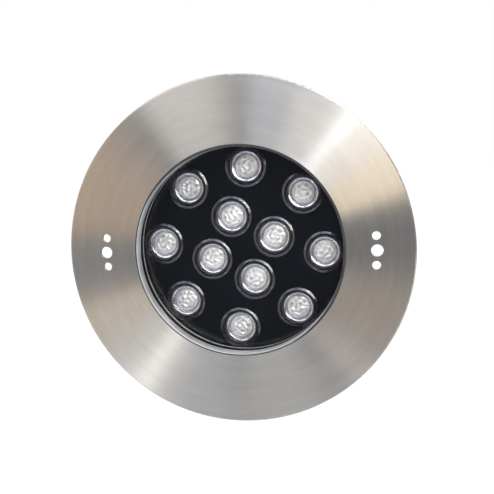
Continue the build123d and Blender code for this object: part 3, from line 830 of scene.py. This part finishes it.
def dark_card(name, azimuth, tilt, distance, radius, sides=96):
    """A round card that metal, gloss and glass mirror, but that takes no light away and isn't seen itself.

    Its rim is a circle at right angles to the line from the lamp to its middle, and its angles are measured
    as a soft box's are.
    """
    a, t = math.radians(azimuth), math.radians(tilt)
    away = np.array((math.sin(t) * math.cos(a), -math.cos(t), math.sin(t) * math.sin(a)))
    around = np.array((-math.sin(a), 0, math.cos(a)))
    turns = np.linspace(0, math.tau, sides, endpoint=False)[:, None]
    rim = away * distance + radius * (np.cos(turns) * around + np.sin(turns) * np.cross(away, around))
    mesh = bpy.data.meshes.new(name)
    mesh.from_pydata(rim.tolist(), [], [tuple(range(sides))])
    mesh.materials.append(material)
    card = bpy.data.objects.new(name, mesh)
    bpy.context.scene.collection.objects.link(card)
    card.visible_camera = False
    card.visible_diffuse = False
    card.visible_shadow = False


dark_card("card_front", 0, 0, 1.25, 1.0)
dark_card("card_behind_right", 10, 128, 1.3, 0.45)
dark_card("card_behind_left", 175, 140, 1.3, 0.40)
dark_card("card_side_left", 200, 100, 1.3, 0.30)
dark_card("card_side_right", 340, 100, 1.3, 0.30)
dark_card("card_above", 75, 112, 1.3, 0.30)


# The brightest boxes would burn out matt surfaces, so from this brightness on only metal and gloss take
# their light.
matt_limit = 3


def soft_box(name, azimuth, tilt, distance, width, length, brightness, color):
    """An area lamp round the plate, facing the window's centre, with its length along the radius.

    azimuth is its angle about the lamp's axis, 0 to the right and 90 up as seen from the front, and tilt
    its angle away from the front end of the axis. brightness is what a mirror would show.
    """
    a, t = math.radians(azimuth), math.radians(tilt)
    away = Vector((math.sin(t) * math.cos(a), -math.cos(t), math.sin(t) * math.sin(a)))
    around = Vector((-math.sin(a), 0, math.cos(a)))
    data = bpy.data.lights.new(name, "AREA")
    data.shape = "RECTANGLE"
    data.size, data.size_y = width, length
    data.energy = brightness * math.pi * width * length
    data.color = color
    lamp = bpy.data.objects.new(name, data)
    turn = Matrix((around, away.cross(around), away)).transposed().to_4x4()
    lamp.matrix_world = Matrix.Translation(away * distance) @ turn
    bpy.context.scene.collection.objects.link(lamp)
    lamp.visible_diffuse = brightness < matt_limit


lamp_tilt = 42.0
# Each box's name, its angle about the axis, the angle that it spans there, its distance, its length along the
# radius, its brightness and its colour.
for name, azimuth, spread, distance, length, brightness, color in (
    ("right_wall_low", 22.0, 19.0, 1.2, 0.46, 10.2, (1.0, 0.82, 0.58)),
    ("right_wall_high", 38.0, 13.0, 1.2, 0.46, 10.0, (1.0, 0.92, 0.82)),
    ("strip_upper_right", 51.7, 3.6, 1.12, 0.46, 20.0, (0.97, 0.99, 1.0)),
    ("box_upper_right", 60.0, 34.0, 1.2, 0.46, 6.1, (1.0, 0.955, 0.91)),
    ("box_top", 88.0, 18.0, 1.2, 0.69, 2.9, (0.92, 0.94, 1.0)),
    ("box_upper_left", 123.5, 32.0, 1.2, 0.69, 2.6, (1.0, 0.93, 0.85)),
    ("box_left", 170.0, 30.0, 1.2, 0.69, 1.0, (1.0, 0.58, 0.22)),
    ("box_lower_left", 206.0, 7.0, 1.2, 0.69, 0.45, (1.0, 0.62, 0.35)),
    ("strip_lower_left", 229.0, 1.4, 1.12, 0.69, 10.5, (1.0, 0.96, 0.90)),
    ("box_lower_right", 272.0, 60.0, 1.2, 0.69, 0.42, (0.95, 0.96, 1.0)),
    ("strip_lower_right", 295.8, 4.0, 1.1, 0.69, 2.6, (1.0, 0.88, 0.78)),
    ("box_right", 323.0, 25.0, 1.2, 0.69, 0.55, (1.0, 0.85, 0.7)),
):
    half_spread = math.radians(spread / 2)
    width = 2 * distance * math.sin(math.radians(lamp_tilt)) * math.tan(half_spread)
    soft_box(name, azimuth, lamp_tilt, distance, width, length, brightness, color)

# Camera: at the photograph's place, found by fitting the plate's rim, window, lenses and holes. It stands
# a little to the right of the lamp's axis and above it.
camera_distance = 0.609
camera_tilt = math.radians(11.924)
camera_azimuth = math.radians(38.95)
camera_roll = math.radians(1.656)
plate_middle = Vector((0, -0.003, 0))
away = Vector((
    math.sin(camera_tilt) * math.cos(camera_azimuth),
    -math.cos(camera_tilt),
    math.sin(camera_tilt) * math.sin(camera_azimuth),
))
right = Vector((0, 0, 1)).cross(away).normalized()
up = away.cross(right)
view_right = math.cos(camera_roll) * right - math.sin(camera_roll) * up
view_up = math.sin(camera_roll) * right + math.cos(camera_roll) * up
data = bpy.data.cameras.new("camera")
data.sensor_width = 36.0
data.lens = 64.76
data.shift_x = 0.0171
data.shift_y = 0.0094
data.clip_start = 0.01
data.clip_end = 50.0
camera = bpy.data.objects.new("camera", data)
camera.matrix_world = (
    Matrix.Translation(plate_middle + away * camera_distance)
    @ Matrix((view_right, view_up, away)).transposed().to_4x4()
)
bpy.context.scene.collection.objects.link(camera)
bpy.context.scene.camera = camera
bpy.context.scene.view_settings.view_transform = "Standard"
